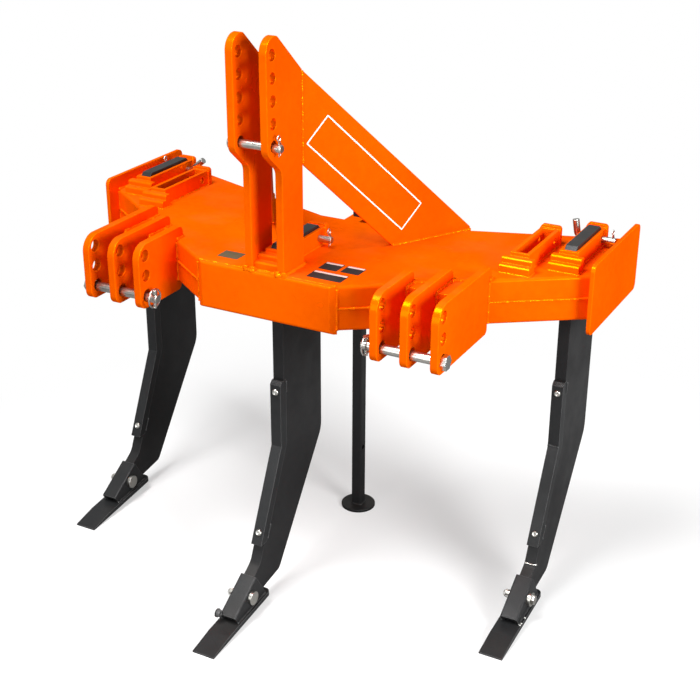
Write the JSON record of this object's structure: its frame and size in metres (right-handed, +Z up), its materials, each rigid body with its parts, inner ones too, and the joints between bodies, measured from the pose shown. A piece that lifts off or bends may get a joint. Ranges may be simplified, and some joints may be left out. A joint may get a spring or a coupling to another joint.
{
  "type": "subsoiler",
  "caption": "Mounted subsoiler: swept box beam with hitch mast and lugs, straight-topped forward-curved shanks in pockets, and a sliding parking stand.",
  "frame": {"origin": "on the floor under the middle of the machine's box", "axes": "+X to the machine's right seen from behind it, +Y from the hitch to the rear, +Z up"},
  "size_m": [1.33, 0.9394, 1.372],
  "materials": {
    "frame_orange": "glossy",
    "shank_black": "satin",
    "stand_black": "satin",
    "wear_steel": "satin",
    "zinc": "bright plated"
  },
  "bodies": {
    "frame": {"beam_lower": "frame_orange", "beam_upper": "frame_orange", "brace_left": "frame_orange", "brace_right": "frame_orange", "clamp_screw": "stand_black", "end_plate_left": "frame_orange", "end_plate_right": "frame_orange", "hitch_fillers_left": "frame_orange", "hitch_fillers_right": "frame_orange", "linch_pin_left": "zinc", "linch_pin_right": "zinc", "lower_pin_left": "zinc", "lower_pin_right": "zinc", "lug_left_inner": "frame_orange", "lug_left_middle": "frame_orange", "lug_left_outer": "frame_orange", "lug_right_inner": "frame_orange", "lug_right_middle": "frame_orange", "lug_right_outer": "frame_orange", "mast_plate_left": "frame_orange", "mast_plate_right": "frame_orange", "nose_plate": "frame_orange", "pocket_centre": "frame_orange", "pocket_left_inner": "frame_orange", "pocket_left_outer": "frame_orange", "pocket_right_inner": "frame_orange", "pocket_right_outer": "frame_orange", "point_centre": "wear_steel", "point_left": "wear_steel", "point_right": "wear_steel", "shank_centre": "shank_black", "shank_clip_centre": "zinc", "shank_clip_left": "zinc", "shank_clip_right": "zinc", "shank_left": "shank_black", "shank_pin_centre": "zinc", "shank_pin_left": "zinc", "shank_pin_right": "zinc", "shank_right": "shank_black", "shin_guard_centre": "wear_steel", "shin_guard_left": "wear_steel", "shin_guard_right": "wear_steel", "shoe_bolt_centre": "zinc", "shoe_bolt_left": "zinc", "shoe_bolt_right": "zinc", "shoe_centre": "wear_steel", "shoe_left": "wear_steel", "shoe_right": "wear_steel", "stand_sleeve": "frame_orange", "top_clip": "zinc", "top_pin": "zinc"},
    "stand": {"stand_foot": "stand_black", "stand_leg": "stand_black"}
  },
  "joints": [
    {"name": "stand_slide", "type": "slide", "parent": "frame", "child": "stand", "axis": [0, 0, 1], "range_m": [0, 0.606]}
  ]
}
